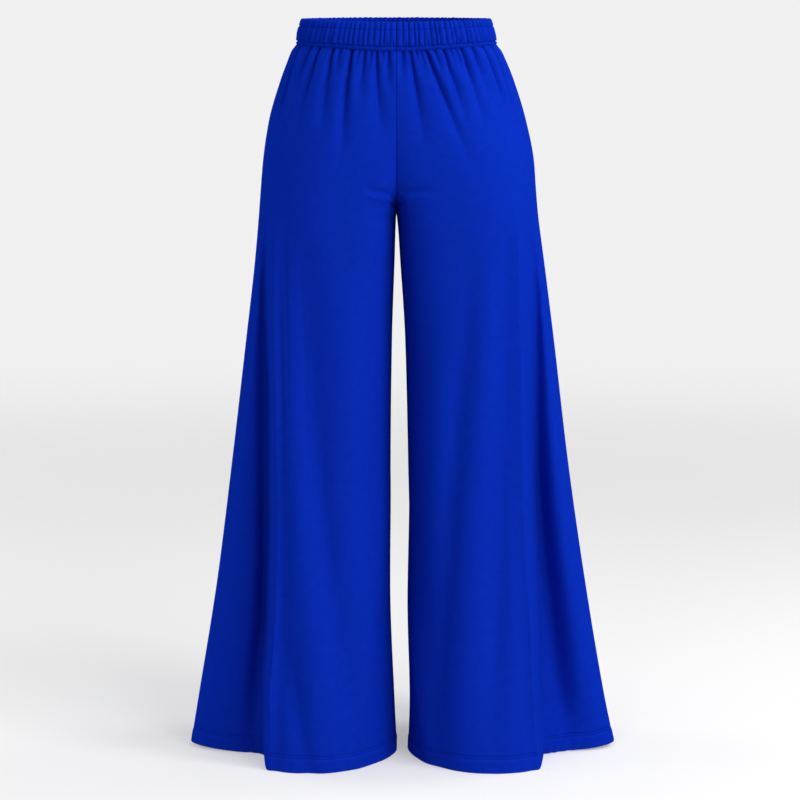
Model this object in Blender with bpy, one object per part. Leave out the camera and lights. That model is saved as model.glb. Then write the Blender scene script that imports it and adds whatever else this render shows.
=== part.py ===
"""Palazzo pants in a heavy smooth knit, filled out as when worn.

Two ribbed halves of an elastic waistband carry four flared leg panels. Every piece is a
thin wall that is open at the waist and at both hems. The origin is the middle of the waist
opening at half the waistband's depth, the front faces -Y and the wearer's left is +X.
"""
from collections import namedtuple

import bpy
import numpy as np

# Driving sizes, in metres. A drop is measured down from the rim at the side of the waist.
BAND_DEPTH = 0.036
RIM_HEIGHT = BAND_DEPTH / 2
CROTCH_DROP = 0.278
HEM_DROP = 1.0605
CLOTH_WALL = 0.0015
BAND_WALL = 0.0028
SEAM_GAP = 0.0003
HALF_GAP = SEAM_GAP / 2
RIM_DIP = 0.0025  # the rim is lower at the centre front than at the sides
SEAM_DIP = 0.0060  # and so is the seam under the waistband
DIP_FADE_DROP = 0.150
HEM_RISE = 0.0070  # the hem is higher at the side seams than under the front
HEM_RISE_START = 0.450
HEM_RISE_POWER = 8  # the rise keeps close to the side seams
BACK_HOLLOW = 0.85  # the back turns under to the crotch in a slower curve than the front

# Ribs of the waistband and gathers under it.
RIBS_PER_HALF = 50
RIB_SWELL = 0.0013
RIB_UNEVENNESS = 0.14  # the lowest ribs are lower than the highest by twice this share
RIB_BEATS = (1.9, 0.7)  # two waves that don't fall in step give the ribs their uneven heights
GATHER_NARROW = 0.0030  # half width of a gather's valley at the seam
GATHER_WIDE = 0.0085  # and at its foot
GATHER_FILL_DROP = 0.012  # the gathers reach their full depth this far below the seam
GATHER_HEAD_SHARE = 0.35  # and have this share of it at the seam
GATHER_COLUMNS = 4  # columns of the mesh from one gather to the next
COLUMNS_LEAVE_DROP = 0.080  # the columns follow the gathers down to here
COLUMNS_EVEN_DROP = 0.190  # and are evenly spaced from here on
SETTLE_TOP = 0.231  # around the crotch, rows take up their extra length near the inner seam
SETTLE_BOTTOM = 0.530
SETTLE_POWER = 6

# Rows of the leg panels' mesh: close together through the gathers, then half as many columns.
GATHERED_ROWS = (BAND_DEPTH + SEAM_GAP, 0.0430, 0.0530, 0.0700, 0.0960, 0.1300)
LOWER_ROWS = (0.168, 0.203, 0.231, 0.251, 0.264, 0.272, 0.2763, CROTCH_DROP, 0.300, 0.350, 0.430,
              0.530, 0.640, 0.750, 0.860, 0.960, 1.035, HEM_DROP)
CURVE_STEPS = 160  # points of the smooth curve that each row is read from, a quadrant
NORMAL_REACH = 0.004  # a wall's direction is taken across this length to either side
EDGE_CALM = 0.05  # folds fade out over this share of a row at its two seams

# Half widths and depths of the garment, a row for each level. Each leg is a tube: above the
# crotch its inner side would reach past the centre plane, where the centre seam cuts it off.
# Side and inseam are the seams' places along Y, crown is where the front is fullest, and the
# rounds are superellipse powers.
Section = namedtuple("Section", "drop left_out right_out left_in right_in front back side inseam "
                                "crown inner_round front_round back_round")
SECTIONS = (
    Section(0.0000, .1340, .1340, -.140, -.140, .0925, .0940, .000, .005, .05, 2.2, 2.00, 2.00),
    Section(0.0110, .1360, .1359, -.140, -.140, .0950, .0965, .000, .005, .05, 2.2, 2.00, 2.00),
    Section(0.0220, .1401, .1388, -.140, -.140, .0970, .0985, .000, .005, .05, 2.2, 2.00, 2.00),
    Section(0.0360, .1428, .1428, -.140, -.140, .0985, .1000, .000, .005, .06, 2.2, 2.00, 2.00),
    Section(0.0440, .1488, .1487, -.140, -.140, .1030, .1040, .001, .005, .07, 2.2, 2.00, 2.00),
    Section(0.0580, .1556, .1545, -.140, -.140, .1070, .1090, .001, .005, .09, 2.2, 2.00, 2.02),
    Section(0.0860, .1670, .1650, -.135, -.135, .1125, .1170, .002, .005, .14, 2.3, 2.05, 2.05),
    Section(0.1425, .1846, .1817, -.092, -.092, .1205, .1280, .003, .005, .25, 2.5, 2.10, 2.10),
    Section(0.2000, .1964, .1907, -.047, -.047, .1250, .1350, .005, .005, .37, 3.0, 2.15, 2.15),
    Section(0.2400, .1995, .1942, -.023, -.023, .1258, .1360, .005, .005, .43, 3.4, 2.18, 2.18),
    Section(0.2630, .2015, .1960, -.009, -.009, .1260, .1362, .005, .005, .45, 3.5, 2.20, 2.20),
    Section(0.2780, .2030, .1972, .0004, .0004, .1260, .1360, .005, .005, .45, 3.5, 2.20, 2.20),
    Section(0.3430, .2119, .2033, .0060, .0033, .1230, .1320, .004, .003, .45, 3.2, 2.15, 2.20),
    Section(0.4590, .2272, .2172, .0125, .0065, .1220, .1300, .002, .000, .45, 2.8, 2.05, 2.15),
    Section(0.6350, .2487, .2386, .0168, .0087, .1260, .1320, -.001, -.003, .44, 2.6, 1.90, 2.05),
    Section(0.8130, .2748, .2617, .0198, .0092, .1350, .1380, -.004, -.008, .42, 2.3, 1.78, 1.95),
    Section(0.9940, .3060, .2914, .0190, .0027, .1485, .1480, -.007, -.016, .40, 2.0, 1.65, 1.88),
    Section(1.0605, .3203, .3026, .0168, -.0008, .1550, .1520, -.008, -.020, .40, 1.8, 1.60, 1.85),
)

# The deep fold down each leg, where the front steps back to the side: its ridge keeps the
# given distance from the centre, the cloth turns back over the length called rise, and the
# dip hollows a valley at the given distance behind the ridge.
SideFold = namedtuple("SideFold", "drop depth left_ridge right_ridge rise dip "
                                  "left_valley right_valley")
SIDE_FOLD = (
    SideFold(0.2500, .000, .1705, .1720, .034, .000, .016, .012),
    SideFold(0.3000, .009, .1740, .1755, .033, .003, .016, .012),
    SideFold(0.3400, .017, .1765, .1765, .032, .009, .017, .012),
    SideFold(0.4000, .027, .1775, .1768, .031, .014, .018, .012),
    SideFold(0.5500, .041, .1815, .1735, .029, .018, .019, .013),
    SideFold(0.7000, .051, .1850, .1725, .027, .018, .026, .014),
    SideFold(0.8500, .060, .1935, .1765, .024, .016, .033, .015),
    SideFold(0.9500, .067, .1985, .1840, .020, .012, .038, .018),
    SideFold(1.0605, .074, .2065, .1870, .017, .003, .044, .022),
)
FOLD_LEAD = 0.030  # the cloth starts to round away this far before the ridge
FOLD_LEAD_SHARE = 0.15  # and has made this share of the step when it gets there
FOLD_BEFORE_RIDGE = 0.003
FOLD_RUN_OUT = (1.9, 0.75)  # powers of the curve by which the set-back ends at the side seam
DIP_WIDTH = 0.004  # half width of the valley, before it gets wider
DIP_WIDTH_SHARE = 0.26  # by this share of its distance behind the ridge
SWELL_SHARE = 0.50  # the flap swells outside the valley, by this share of the dip
SWELL_PLACE = 0.024
SWELL_WIDTH = 0.009
SIDE_CALM = 0.020  # dip and swell end over this distance before the side seam
BACK_FOLD_SHARE = 0.70
BACK_RIDGE_SHIFT = {"left": -0.012, "right": 0.007}

# Gathers under the waistband, from the centre seam outwards: places are shares of the row
# from the centre seam to the side seam, and the reach is the drop at which a gather ends.
Gather = namedtuple("Gather", "head foot reach depth")
GATHERS = {
    "left": (
        Gather(.054, .060, .072, .0030), Gather(.111, .165, .154, .0046),
        Gather(.155, .175, .065, .0024), Gather(.190, .215, .070, .0026),
        Gather(.230, .385, .178, .0052), Gather(.294, .325, .078, .0026),
        Gather(.361, .415, .138, .0044), Gather(.410, .430, .070, .0024),
        Gather(.456, .475, .072, .0024), Gather(.505, .520, .136, .0042),
        Gather(.605, .600, .098, .0038), Gather(.714, .735, .152, .0044),
        Gather(.825, .800, .160, .0036),
    ),
    "right": (
        Gather(.045, .024, .092, .0032), Gather(.088, .070, .062, .0022),
        Gather(.132, .060, .146, .0044), Gather(.172, .155, .066, .0026),
        Gather(.218, .193, .100, .0040), Gather(.260, .250, .066, .0024),
        Gather(.318, .263, .172, .0056), Gather(.405, .375, .070, .0026),
        Gather(.470, .395, .136, .0044), Gather(.585, .560, .148, .0046),
        Gather(.677, .665, .098, .0038), Gather(.820, .737, .150, .0046),
        Gather(.925, .860, .125, .0030),
    ),
}
BACK_GATHER_SHARE = 0.92  # the back takes the other leg's gathers, a little shorter

# Soft folds down the legs: places are distances from the centre, a negative depth is a ridge.
Fold = namedtuple("Fold", "panel top bottom at_top at_middle at_bottom width depth")
FOLDS = (
    Fold("front_right", 0.295, 1.090, .131, .105, .038, .0150, .0095),
    Fold("front_right", 0.275, 1.060, .155, .139, .103, .0165, -.0075),
    Fold("front_right", 0.850, 1.130, .158, .138, .110, .0110, .0050),
    Fold("front_right", 0.640, 1.120, .018, .040, .056, .0110, -.0048),
    Fold("front_right", 0.300, 0.640, .090, .074, .060, .0170, -.0030),
    Fold("front_left", 0.295, 1.080, .111, .077, .053, .0120, .0056),
    Fold("front_left", 0.285, 1.090, .131, .109, .086, .0180, -.0085),
    Fold("front_left", 0.295, 1.080, .150, .148, .133, .0115, .0070),
    Fold("front_left", 0.700, 1.150, .011, .032, .059, .0110, -.0050),
    Fold("front_left", 0.420, 0.800, .060, .058, .052, .0120, -.0028),
    Fold("back_left", 0.310, 1.090, .128, .100, .045, .0160, .0095),
    Fold("back_left", 0.300, 1.060, .150, .132, .104, .0170, -.0075),
    Fold("back_left", 0.600, 1.220, .036, .050, .070, .0120, .0056),
    Fold("back_left", 0.420, 0.900, .070, .064, .050, .0130, -.0040),
    Fold("back_right", 0.300, 1.080, .112, .082, .050, .0130, .0080),
    Fold("back_right", 0.290, 1.090, .134, .112, .090, .0170, -.0080),
    Fold("back_right", 0.310, 1.070, .152, .146, .130, .0120, .0060),
    Fold("back_right", 0.560, 1.200, .030, .044, .062, .0120, -.0050),
)

# Profile of the waistband from rim to seam: how far it stands out and how strong its ribs are.
BandRow = namedtuple("BandRow", "drop stand rib_share")
BAND_ROWS = (
    BandRow(0.0000, -.0010, .25),
    BandRow(0.0030, .0002, .60),
    BandRow(0.0098, -.0006, .30),
    BandRow(0.0145, .0002, 1.0),
    BandRow(0.0290, .0001, 1.0),
    BandRow(0.0360, -.0006, .35),
)

COLOUR = (0.003, 0.022, 0.480, 1.0)
ROUGHNESS = 0.55
CLOTH_SHARP = np.radians(50)  # faces that turn more than this meet in a sharp edge
RIB_SHARP = np.radians(25)


def ease(value):
    """Smooth step from 0 to 1."""
    held = np.clip(value, 0.0, 1.0)
    return held * held * (3.0 - 2.0 * held)


def smooth_read(places, values, place):
    """Read a table's column at a place, on a smooth curve that never overshoots its rows."""
    places = np.asarray(places)
    values = np.asarray(values)
    place = float(np.clip(place, places[0], places[-1]))
    lengths = np.diff(places)
    slopes = np.diff(values) / lengths
    tangents = np.zeros(len(values))
    for row in range(1, len(values) - 1):
        before, after = slopes[row - 1], slopes[row]
        if before * after > 0.0:
            tangents[row] = 2.0 * before * after / (before + after)
    tangents[0] = slopes[0]
    tangents[-1] = slopes[-1]
    row = int(np.clip(np.searchsorted(places, place) - 1, 0, len(lengths) - 1))
    part = (place - places[row]) / lengths[row]
    start_bend = lengths[row] * tangents[row] * part * (1.0 - part) ** 2
    end_bend = lengths[row] * tangents[row + 1] * part ** 2 * (part - 1.0)
    rise = values[row] + (values[row + 1] - values[row]) * ease(part)
    return float(rise + start_bend + end_bend)


def read_column(table, column, drop):
    """One column of a table of named rows, at a drop."""
    drops = [row.drop for row in table]
    values = [getattr(row, column) for row in table]
    return smooth_read(drops, values, drop)


def row_curve(side, face, drop):
    """Points of one quarter of the garment at a drop, from the inner seam to the side seam.

    The first number of a point is its distance from the centre plane and the second how far
    it lies towards the panel's own face. A leg that would cross the centre plane starts there.
    """
    facing = -1.0 if face == "front" else 1.0
    outer = read_column(SECTIONS, side + "_out", drop)
    depth = read_column(SECTIONS, face, drop)
    side_seam = facing * read_column(SECTIONS, "side", drop) + HALF_GAP
    inseam = facing * read_column(SECTIONS, "inseam", drop) + HALF_GAP
    inner = read_column(SECTIONS, side + "_in", drop)
    crown = max(inner, 0.0) + read_column(SECTIONS, "crown", drop) * (outer - max(inner, 0.0))
    inner_round = read_column(SECTIONS, "inner_round", drop)
    if face == "back":
        inner_round = 2.0 + (inner_round - 2.0) * BACK_HOLLOW
    outer_round = read_column(SECTIONS, face + "_round", drop)
    start = np.arccos(min((crown - HALF_GAP) / (crown - inner), 1.0) ** (inner_round / 2))
    angles = np.linspace(start, np.pi / 2, CURVE_STEPS + 1)
    rising = np.stack([crown - (crown - inner) * np.cos(angles) ** (2 / inner_round),
                       inseam + (depth - inseam) * np.sin(angles) ** (2 / inner_round)], axis=1)
    angles = np.linspace(0.0, np.pi / 2, CURVE_STEPS + 1)
    falling = np.stack([crown + (outer - crown) * np.sin(angles) ** (2 / outer_round),
                        side_seam + (depth - side_seam) * np.cos(angles) ** (2 / outer_round)],
                       axis=1)
    points = np.concatenate([rising, falling[1:]])
    points[:, 1] -= side_fold_step(side, face, drop, outer, points[:, 0])
    return points


def side_fold_step(side, face, drop, outer, across):
    """How far the deep side fold sets the cloth back, for distances from the centre."""
    depth = read_column(SIDE_FOLD, "depth", drop) if drop > SIDE_FOLD[0].drop else 0.0
    ridge = read_column(SIDE_FOLD, side + "_ridge", drop)
    rise = read_column(SIDE_FOLD, "rise", drop)
    if face == "back":
        depth *= BACK_FOLD_SHARE
        ridge += BACK_RIDGE_SHIFT[side]
    lead_in = ease((across - ridge + FOLD_LEAD) / FOLD_LEAD)
    turn = ease((across - ridge + FOLD_BEFORE_RIDGE) / rise)
    past = np.clip((across - ridge) / (outer - ridge), 0.0, 1.0)
    run_out = (1.0 - past ** FOLD_RUN_OUT[0]) ** FOLD_RUN_OUT[1]
    step = depth * (FOLD_LEAD_SHARE * lead_in + (1.0 - FOLD_LEAD_SHARE) * turn) * run_out
    dip = read_column(SIDE_FOLD, "dip", drop) if drop > SIDE_FOLD[0].drop else 0.0
    dip *= BACK_FOLD_SHARE if face == "back" else 1.0
    dip *= ease((outer - across) / SIDE_CALM)
    valley = read_column(SIDE_FOLD, side + "_valley", drop)
    width = DIP_WIDTH + DIP_WIDTH_SHARE * valley
    away = across - ridge - valley
    swell = np.exp(-0.5 * ((away - SWELL_PLACE) / SWELL_WIDTH) ** 2)
    return step + dip * (np.exp(-0.5 * (away / width) ** 2) - SWELL_SHARE * swell)


def gathers_of(side, face):
    """The gathers of a panel; a back panel takes those of the other leg's front, shortened."""
    if face == "front":
        return GATHERS[side]
    other = "left" if side == "right" else "right"
    return tuple(gather._replace(reach=BAND_DEPTH + (gather.reach - BAND_DEPTH) * BACK_GATHER_SHARE)
                 for gather in GATHERS[other])


def gather_place(gather, drop):
    """Where a gather is at a drop, as a share of the row."""
    part = np.clip((drop - BAND_DEPTH) / (gather.reach - BAND_DEPTH), 0.0, 1.0)
    return gather.head + (gather.foot - gather.head) * part


def gather_depths(side, face, drop, shares, length):
    """Depth of the gathers' valleys at each share of a row of this length."""
    total = np.zeros(len(shares))
    for gather in gathers_of(side, face):
        part = (drop - BAND_DEPTH) / (gather.reach - BAND_DEPTH)
        if part >= 1.0:
            continue
        width = GATHER_NARROW + (GATHER_WIDE - GATHER_NARROW) * part
        full = ease((drop - BAND_DEPTH) / GATHER_FILL_DROP)
        filled = GATHER_HEAD_SHARE + (1.0 - GATHER_HEAD_SHARE) * full
        away = (shares - gather_place(gather, drop)) * length / width
        total += gather.depth * filled * (1.0 - ease(part)) * np.exp(-0.5 * away ** 2)
    return total


def fold_depths(side, face, drop, across):
    """Depth of the soft leg folds at each distance from the centre."""
    total = np.zeros(len(across))
    for fold in FOLDS:
        if fold.panel != face + "_" + side or not fold.top < drop < fold.bottom:
            continue
        part = (drop - fold.top) / (fold.bottom - fold.top)
        place = ((1 - part) * (1 - 2 * part) * fold.at_top + 4 * part * (1 - part) * fold.at_middle
                 + part * (2 * part - 1) * fold.at_bottom)
        grown = np.sin(np.pi * part) ** 0.7
        total += fold.depth * grown * np.exp(-0.5 * ((across - place) / fold.width) ** 2)
    return total


def settled_shares(side, face, drop, even):
    """Even shares of a row, with what it gains round the crotch taken up by the inner seam."""
    top, here, bottom = [curve_lengths(row_curve(side, face, level))[-1]
                         for level in (SETTLE_TOP, drop, SETTLE_BOTTOM)]
    part = (drop - SETTLE_TOP) / (SETTLE_BOTTOM - SETTLE_TOP)
    steady = top + (bottom - top) * part
    from_side = (1.0 - even) * steady + (1.0 - even) ** SETTLE_POWER * (here - steady)
    return 1.0 - from_side / here


def column_shares(side, face, drop, count):
    """Shares of a row at which the mesh has its columns: on the gathers near the waistband."""
    even = np.linspace(0.0, 1.0, count + 1)
    if SETTLE_TOP < drop < SETTLE_BOTTOM:
        return settled_shares(side, face, drop, even)
    blend = ease((drop - COLUMNS_LEAVE_DROP) / (COLUMNS_EVEN_DROP - COLUMNS_LEAVE_DROP))
    if blend >= 1.0:
        return even
    knots = [0.0] + [float(gather_place(gather, drop)) for gather in gathers_of(side, face)] + [1.0]
    at_knots = np.linspace(0.0, 1.0, len(knots))
    return (1.0 - blend) * np.interp(even, at_knots, knots) + blend * even


def curve_lengths(points):
    """Length along a curve up to each of its points."""
    steps = np.hypot(*np.diff(points, axis=0).T)
    return np.concatenate([[0.0], np.cumsum(steps)])


def read_curve(points, lengths, place):
    """Points of a curve at given lengths along it."""
    return np.stack([np.interp(place, lengths, points[:, axis]) for axis in (0, 1)], axis=1)


def curve_normals(points, lengths, place):
    """Outward directions of a curve, each taken across NORMAL_REACH to either side."""
    ahead = read_curve(points, lengths, np.minimum(place + NORMAL_REACH, lengths[-1]))
    behind = read_curve(points, lengths, np.maximum(place - NORMAL_REACH, 0.0))
    chords = ahead - behind
    normals = np.stack([-chords[:, 1], chords[:, 0]], axis=1)
    return normals / np.linalg.norm(normals, axis=1, keepdims=True)


def lift(face, drop, across, outer):
    """How far a point is above the level of its drop, at a distance from the centre."""
    share = np.clip(across / outer, 0.0, 1.0)
    grown = ease((drop - HEM_RISE_START) / (HEM_DROP - HEM_RISE_START))
    rise = HEM_RISE * grown * share ** HEM_RISE_POWER
    if face == "back":
        return rise
    below_band = max(drop - BAND_DEPTH, 0.0) / (DIP_FADE_DROP - BAND_DEPTH)
    dip = np.interp(drop, (0.0, BAND_DEPTH), (RIM_DIP, SEAM_DIP)) * (1.0 - ease(below_band))
    return rise - dip * (1.0 - ease(share))


def place_points(side, face, drop, flat, lifts):
    """Turn a row's flat points into points of the garment."""
    mirror = 1.0 if side == "left" else -1.0
    facing = -1.0 if face == "front" else 1.0
    heights = RIM_HEIGHT - drop + lifts
    return np.stack([mirror * flat[:, 0], facing * flat[:, 1], heights], axis=1)


def panel_row(side, face, drop, count):
    """Outer and inner points of one row of a leg panel."""
    base = row_curve(side, face, drop)
    lengths = curve_lengths(base)
    shares = lengths / lengths[-1]
    depths = (gather_depths(side, face, drop, shares, lengths[-1])
              + fold_depths(side, face, drop, base[:, 0]))
    depths *= ease(shares / EDGE_CALM) * ease((1.0 - shares) / EDGE_CALM)
    folded = base - depths[:, None] * curve_normals(base, lengths, lengths)
    folded_lengths = curve_lengths(folded)
    places = np.interp(column_shares(side, face, drop, count), shares, folded_lengths)
    outer = read_curve(folded, folded_lengths, places)
    normals = curve_normals(folded, folded_lengths, places)
    normals[-1] = (1.0, 0.0)
    if drop >= CROTCH_DROP:
        normals[0] = (-1.0, 0.0)
    inner = outer - CLOTH_WALL * normals
    lifts = lift(face, drop, outer[:, 0], base[-1, 0])
    return (place_points(side, face, drop, outer, lifts),
            place_points(side, face, drop, inner, lifts))


def strip_faces(upper, lower):
    """Triangles between two rows of point numbers, of equal length or two to one."""
    faces = []
    if len(upper) == len(lower):
        for column in range(len(upper) - 1):
            faces.append((upper[column], lower[column], lower[column + 1]))
            faces.append((upper[column], lower[column + 1], upper[column + 1]))
        return faces
    for column in range(len(lower) - 1):
        first, middle, last = upper[2 * column:2 * column + 3]
        faces.append((first, lower[column], middle))
        faces.append((middle, lower[column], lower[column + 1]))
        faces.append((middle, lower[column + 1], last))
    return faces


def wall_mesh(outer_rows, inner_rows):
    """Close two sheets of the same layout into one wall, bridging them along their edges."""
    numbers = []
    start = 0
    for row in outer_rows:
        numbers.append(list(range(start, start + len(row))))
        start += len(row)
    sheet = []
    for upper, lower in zip(numbers[:-1], numbers[1:]):
        sheet += strip_faces(upper, lower)
    directed = {(face[corner], face[(corner + 1) % 3]) for face in sheet for corner in range(3)}
    faces = list(sheet)
    faces += [tuple(start + corner for corner in reversed(face)) for face in sheet]
    for first, second in sorted(directed):
        if (second, first) not in directed:
            faces.append((second, first, start + first))
            faces.append((second, start + first, start + second))
    return np.concatenate(list(outer_rows) + list(inner_rows)), faces


def sweep_mesh(loops):
    """Join closed loops of equally many points into one body with flat ends."""
    size = len(loops[0])
    faces = []
    for index in range(len(loops) - 1):
        here, there = index * size, (index + 1) * size
        for corner in range(size):
            follow = (corner + 1) % size
            faces.append((here + corner, there + corner, there + follow))
            faces.append((here + corner, there + follow, here + follow))
    last = (len(loops) - 1) * size
    faces.append(tuple(range(size)))
    faces.append(tuple(last + corner for corner in reversed(range(size))))
    return np.concatenate(loops), faces


def rib_wave(count):
    """Rise of the ribs at each column: every other one is up, and some more than others."""
    columns = np.arange(count)
    beat = np.sin(RIB_BEATS[0] * columns) * np.cos(RIB_BEATS[1] * columns)
    return (columns % 2) * (1.0 - RIB_UNEVENNESS + RIB_UNEVENNESS * beat)


def band_line(side, drop, raised):
    """A line round a waistband half, from the centre front to the centre back, moved outwards."""
    front, back = [row_curve(side, face, drop) for face in ("front", "back")]
    outer = front[-1, 0]
    front[:, 1] *= -1.0
    curve = np.concatenate([front[:-1], back[::-1][1:]])
    lengths = curve_lengths(curve)
    places = np.linspace(0.0, lengths[-1], len(raised))
    normals = -curve_normals(curve, lengths, places)
    normals[0] = (0.0, -1.0)
    normals[-1] = (0.0, 1.0)
    points = read_curve(curve, lengths, places) + normals * raised[:, None]
    lifts = np.where(points[:, 1] < 0.0, lift("front", drop, points[:, 0], outer),
                     lift("back", drop, points[:, 0], outer))
    mirror = 1.0 if side == "left" else -1.0
    return np.stack([mirror * points[:, 0], points[:, 1], RIM_HEIGHT - drop + lifts], axis=1)


def band_loops(side):
    """Closed profile loops of a waistband half: ribbed rows outside and a plain wall inside."""
    columns = 2 * RIBS_PER_HALF + 1
    outside = [band_line(side, row.drop, row.stand + RIB_SWELL * row.rib_share * rib_wave(columns))
               for row in BAND_ROWS]
    inside = [band_line(side, row.drop, np.full(columns, -BAND_WALL))
              for row in (BAND_ROWS[-1], BAND_ROWS[0])]
    return list(np.stack(outside + inside, axis=1))


def add_piece(name, points, faces, sharp_angle):
    """Make one closed object with its own material, its faces turned outwards."""
    corners = points[np.array([face[:3] for face in faces])]
    volume = np.einsum("ij,ij->i", corners[:, 0], np.cross(corners[:, 1], corners[:, 2])).sum()
    if volume < 0.0:
        faces = [tuple(reversed(face)) for face in faces]
    mesh = bpy.data.meshes.new(name)
    mesh.from_pydata([tuple(point) for point in points], [], faces)
    mesh.update()
    mesh.shade_smooth()
    mesh.set_sharp_from_angle(angle=sharp_angle)
    material = bpy.data.materials.new(name + "_knit")
    material.use_nodes = True
    shader = material.node_tree.nodes["Principled BSDF"]
    shader.inputs["Base Color"].default_value = COLOUR
    shader.inputs["Roughness"].default_value = ROUGHNESS
    shader.inputs["Metallic"].default_value = 0.0
    mesh.materials.append(material)
    piece = bpy.data.objects.new(name, mesh)
    bpy.context.scene.collection.objects.link(piece)
    return piece


def build_panel(side, face):
    """One leg panel, from the waistband's seam to the hem."""
    fine = GATHER_COLUMNS * (len(gathers_of(side, face)) + 1)
    rows = [panel_row(side, face, drop, fine) for drop in GATHERED_ROWS]
    rows += [panel_row(side, face, drop, fine // 2) for drop in LOWER_ROWS]
    points, faces = wall_mesh([row[0] for row in rows], [row[1] for row in rows])
    return add_piece(face + "_" + side + "_panel", points, faces, CLOTH_SHARP)


def build_waistband(side):
    """One half of the ribbed waistband, from the centre front to the centre back."""
    points, faces = sweep_mesh(band_loops(side))
    return add_piece("waistband_" + side, points, faces, RIB_SHARP)


def main():
    for item in list(bpy.data.objects):
        bpy.data.objects.remove(item)
    for side in ("left", "right"):
        build_waistband(side)
        for face in ("front", "back"):
            build_panel(side, face)


main()
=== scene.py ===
import math
from collections import namedtuple

import bmesh
import bpy
import numpy as np
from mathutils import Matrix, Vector


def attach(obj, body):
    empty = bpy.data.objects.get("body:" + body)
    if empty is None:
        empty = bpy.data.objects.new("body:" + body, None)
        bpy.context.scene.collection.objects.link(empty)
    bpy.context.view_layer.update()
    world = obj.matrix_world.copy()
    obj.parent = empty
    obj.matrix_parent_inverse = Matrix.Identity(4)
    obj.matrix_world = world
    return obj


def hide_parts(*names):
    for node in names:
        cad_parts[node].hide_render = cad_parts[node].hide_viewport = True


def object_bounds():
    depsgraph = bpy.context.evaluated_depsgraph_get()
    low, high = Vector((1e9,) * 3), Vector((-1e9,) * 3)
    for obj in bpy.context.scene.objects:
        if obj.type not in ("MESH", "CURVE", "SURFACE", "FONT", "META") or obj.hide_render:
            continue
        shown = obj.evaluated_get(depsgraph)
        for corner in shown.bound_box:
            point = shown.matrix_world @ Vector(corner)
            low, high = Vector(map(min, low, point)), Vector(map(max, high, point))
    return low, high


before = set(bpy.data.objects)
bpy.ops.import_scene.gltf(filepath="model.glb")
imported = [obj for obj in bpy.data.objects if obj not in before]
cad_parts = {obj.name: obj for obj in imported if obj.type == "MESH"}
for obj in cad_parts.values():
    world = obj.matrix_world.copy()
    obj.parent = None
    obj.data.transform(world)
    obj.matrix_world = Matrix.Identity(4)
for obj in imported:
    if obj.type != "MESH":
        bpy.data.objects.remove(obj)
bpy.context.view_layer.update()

# The cut of the pants, in metres. A drop is measured down from the rim at the side of the waist.
cut = {
    "bandDepth": 0.036,
    "rimHeight": 0.018,
    "crotchDrop": 0.278,
    "hemDrop": 1.0605,
    "rimDip": 0.0025,  # how much lower the rim is at the centre front than at the sides
    "seamDip": 0.0060,  # and the seam under the waistband
    "dipFadeDrop": 0.150,
    "hemRise": 0.0070,  # how much higher the hem is at the side seams
    "hemRiseStart": 0.450,
    "hemRisePower": 8,
    "backHollow": 0.85,
    "curveSteps": 300,
    "normalReach": 0.004,
    "sharpAngle": 55.0,  # degrees, past which an edge is shaded as an edge
}

# Half widths and depths of the garment, a row for each level. Each leg is a tube, which the
# centre plane cuts off above the crotch. Side and inseam say how far behind the middle those
# seams lie, and crown where a row is deepest, as a share of its width. The rounds are powers:
# at 2 a stretch is an ellipse, and above that it is squarer.
Section = namedtuple("Section", "drop leftOut rightOut leftIn rightIn front back side inseam "
                                "crown innerRound frontRound backRound")
sections = (
    Section(0.0000, .1340, .1340, -.140, -.140, .0925, .0940, .000, .005, .05, 2.2, 2.00, 2.00),
    Section(0.0110, .1367, .1367, -.140, -.140, .0950, .0965, .000, .005, .05, 2.2, 2.00, 2.00),
    Section(0.0220, .1394, .1394, -.140, -.140, .0970, .0985, .000, .005, .05, 2.2, 2.00, 2.00),
    Section(0.0360, .1428, .1428, -.140, -.140, .0985, .1000, .000, .005, .06, 2.2, 2.00, 2.00),
    Section(0.0440, .1488, .1487, -.140, -.140, .1030, .1040, .001, .005, .07, 2.2, 2.00, 2.00),
    Section(0.0580, .1556, .1545, -.140, -.140, .1070, .1090, .001, .005, .09, 2.2, 2.00, 2.02),
    Section(0.0860, .1670, .1650, -.135, -.135, .1125, .1170, .002, .005, .14, 2.3, 2.05, 2.05),
    Section(0.1425, .1846, .1817, -.092, -.092, .1205, .1280, .003, .005, .25, 2.5, 2.10, 2.10),
    Section(0.2000, .1964, .1907, -.047, -.047, .1250, .1350, .005, .005, .37, 3.0, 2.15, 2.15),
    Section(0.2400, .1995, .1942, -.019, -.019, .1258, .1360, .005, .005, .43, 3.4, 2.18, 2.18),
    Section(0.2630, .2015, .1960, -.0045, -.0045, .1260, .1362, .005, .005, .45, 3.5, 2.20, 2.20),
    Section(0.2780, .2030, .1972, .0004, .0004, .1260, .1360, .005, .005, .45, 3.5, 2.20, 2.20),
    Section(0.3430, .2119, .2033, .0053, .0027, .1230, .1320, .004, .003, .45, 3.2, 2.15, 2.20),
    Section(0.4590, .2272, .2172, .0125, .0065, .1220, .1300, .002, .000, .45, 2.8, 2.05, 2.15),
    Section(0.6350, .2487, .2386, .0168, .0087, .1260, .1320, -.001, -.003, .44, 2.6, 1.90, 2.05),
    Section(0.8130, .2748, .2617, .0198, .0092, .1350, .1380, -.004, -.008, .42, 2.3, 1.78, 1.95),
    Section(0.9940, .3060, .2914, .0190, .0027, .1485, .1480, -.007, -.016, .40, 2.0, 1.65, 1.88),
    Section(1.0605, .3203, .3026, .0168, -.0008, .1550, .1520, -.008, -.020, .40, 1.8, 1.60, 1.85),
)

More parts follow.
